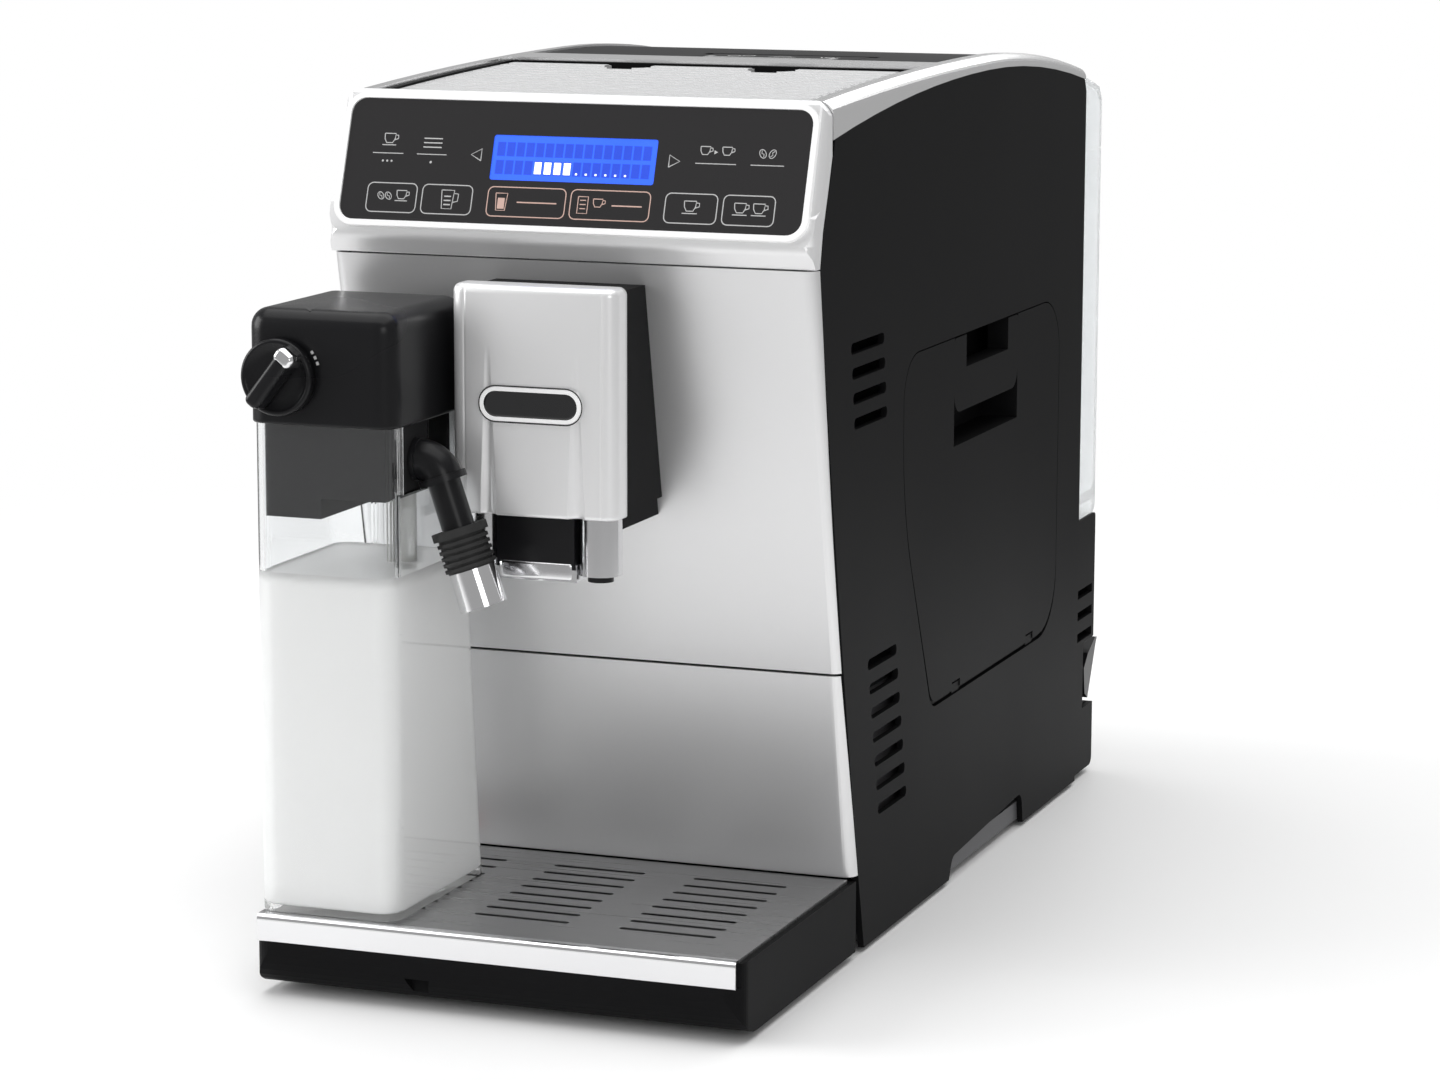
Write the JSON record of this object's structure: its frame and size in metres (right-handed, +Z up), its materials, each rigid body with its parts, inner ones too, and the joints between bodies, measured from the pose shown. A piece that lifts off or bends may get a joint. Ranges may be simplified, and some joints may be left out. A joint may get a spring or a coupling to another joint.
{
  "type": "bean-to-cup coffee machine",
  "caption": "Counter coffee machine with a tilted touch panel, sliding coffee spout, docked milk carafe, drip tray with grounds drawer, side service door and lift-off rear water tank.",
  "frame": {"origin": "on the worktop under the feet, in the middle of the machine's width and depth", "axes": "+X to the right of someone facing the front, +Y from the front to the back, +Z up"},
  "size_m": [0.195, 0.5, 0.34],
  "materials": {
    "frame_plastic": "moulded",
    "foot_rubber": "matte",
    "satin_black": "satin",
    "silver_shell": "satin silver paint",
    "bright_trim": "polished",
    "gloss_black": "high gloss",
    "display_blue": "backlit display",
    "brushed_plate": "brushed",
    "hopper_plastic": "smoked",
    "burr_steel": "ground",
    "cast_aluminium": "cast",
    "board_green": "lacquered",
    "silicone": "translucent",
    "motor_steel": "zinc plated",
    "float_red": "moulded",
    "clear_plastic": "clear",
    "grip_rubber": "ribbed",
    "smoked_plastic": "frosted clear"
  },
  "bodies": {
    "root": {"base_pan": "frame_plastic", "feet": "foot_rubber", "chassis": "frame_plastic", "left_side_panel": "satin_black", "right_side_panel": "satin_black", "front_panel": "silver_shell", "fascia": "silver_shell", "bezel_ring": "bright_trim", "control_glass": "gloss_black", "lcd_display": "display_blue", "top_trim": "silver_shell", "shelf_well": "satin_black", "cup_shelf": "brushed_plate", "bean_hopper": "hopper_plastic", "powder_funnel": "frame_plastic", "grinder_housing": "frame_plastic", "ring_burr": "burr_steel", "grinder_motor": "frame_plastic", "brew_unit": "frame_plastic", "boiler": "cast_aluminium", "water_pump": "frame_plastic", "control_board": "board_green", "hoses": "silicone", "rear_base": "satin_black", "power_inlet": "satin_black", "tank_valve": "frame_plastic", "steam_nozzle": "satin_black", "spout_housing": "satin_black", "cover_screws": "motor_steel", "door_pins": "motor_steel"},
    "burr": {"cone_burr": "burr_steel"},
    "piston": {"brew_piston": "frame_plastic"},
    "switch": {"main_switch": "gloss_black"},
    "tray": {"drip_tray": "satin_black", "tray_lip": "bright_trim", "tray_grid": "brushed_plate", "grounds_container": "frame_plastic", "grounds_panel": "silver_shell"},
    "float": {"level_float": "float_red"},
    "jug": {"milk_jug": "clear_plastic"},
    "lid": {"carafe_lid": "gloss_black", "lid_insert": "satin_black", "intake_tube": "silicone"},
    "knob": {"froth_knob": "satin_black"},
    "elbow": {"milk_elbow": "gloss_black"},
    "tip": {"spout_grip": "grip_rubber", "milk_tip": "bright_trim"},
    "spout": {"spout_cover": "silver_shell", "spout_body": "satin_black", "spout_nozzles": "bright_trim", "spout_badge": "bright_trim"},
    "door": {"service_door": "satin_black", "door_handle": "satin_black"},
    "tank": {"water_tank": "smoked_plastic"},
    "tank_cover": {"tank_lid": "smoked_plastic"},
    "beans_cover": {"bean_lid": "hopper_plastic"},
    "powder_cover": {"powder_lid": "hopper_plastic", "powder_handle": "bright_trim"},
    "dial": {"grind_dial": "satin_black"}
  },
  "joints": [
    {"name": "tray_slide", "type": "slide", "parent": "root", "child": "tray", "axis": [0, -1, 0], "range_m": [0, 0.16]},
    {"name": "float_rise", "type": "slide", "parent": "tray", "child": "float", "axis": [0, 0, 1], "range_m": [0, 0.006]},
    {"name": "jug_undock", "type": "slide", "parent": "tray", "child": "jug", "axis": [0, -1, 0], "range_m": [0, 0.12]},
    {"name": "carafe_lid_lift", "type": "slide", "parent": "jug", "child": "lid", "axis": [0, 0, 1], "range_m": [0, 0.19]},
    {"name": "froth_knob_turn", "type": "hinge", "parent": "lid", "child": "knob", "pos_m": [-0.0827, -0.244, 0.2355], "axis": [0, -1, 0], "range_deg": [-60, 60]},
    {"name": "milk_spout_swing", "type": "hinge", "parent": "lid", "child": "elbow", "pos_m": [-0.0315, -0.214, 0.204], "axis": [1, 0, 0], "range_deg": [-90, 0]},
    {"name": "milk_tip_slide", "type": "slide", "parent": "elbow", "child": "tip", "axis": [0.3256, 0, -0.9455], "range_m": [-0.012, 0.012]},
    {"name": "coffee_spout_slide", "type": "slide", "parent": "root", "child": "spout", "axis": [0, 0, 1], "range_m": [-0.05, 0]},
    {"name": "service_door_hinge", "type": "hinge", "parent": "root", "child": "door", "pos_m": [0.0962, 0.065, 0.0832], "axis": [0, 1, 0], "range_deg": [0, 70]},
    {"name": "tank_lift", "type": "slide", "parent": "root", "child": "tank", "axis": [0, 0, 1], "range_m": [0, 0.22]},
    {"name": "tank_lid_lift", "type": "slide", "parent": "tank", "child": "tank_cover", "axis": [0, 0, 1], "range_m": [0, 0.06]},
    {"name": "bean_lid_hinge", "type": "hinge", "parent": "root", "child": "beans_cover", "pos_m": [0, 0.1975, 0.32511], "axis": [-1, 0, 0], "range_deg": [0, 85]},
    {"name": "powder_lid_hinge", "type": "hinge", "parent": "root", "child": "powder_cover", "pos_m": [0.014, 0.0475, 0.33648], "axis": [-1, 0, 0], "range_deg": [0, 85]},
    {"name": "grind_dial_turn", "type": "hinge", "parent": "root", "child": "dial", "pos_m": [0.0705, 0.15, 0.296], "axis": [0, 0, 1], "range_deg": [-150, 150]},
    {"name": "burr_spin", "type": "hinge", "parent": "root", "child": "burr", "pos_m": [-0.035, 0.15, 0.254], "axis": [0, 0, 1], "continuous": true},
    {"name": "brew_piston_stroke", "type": "slide", "parent": "root", "child": "piston", "axis": [0, 0, 1], "range_m": [0, 0.035]},
    {"name": "main_switch_rock", "type": "hinge", "parent": "root", "child": "switch", "pos_m": [0.081, 0.231, 0.048], "axis": [1, 0, 0], "range_deg": [0, 12]}
  ]
}
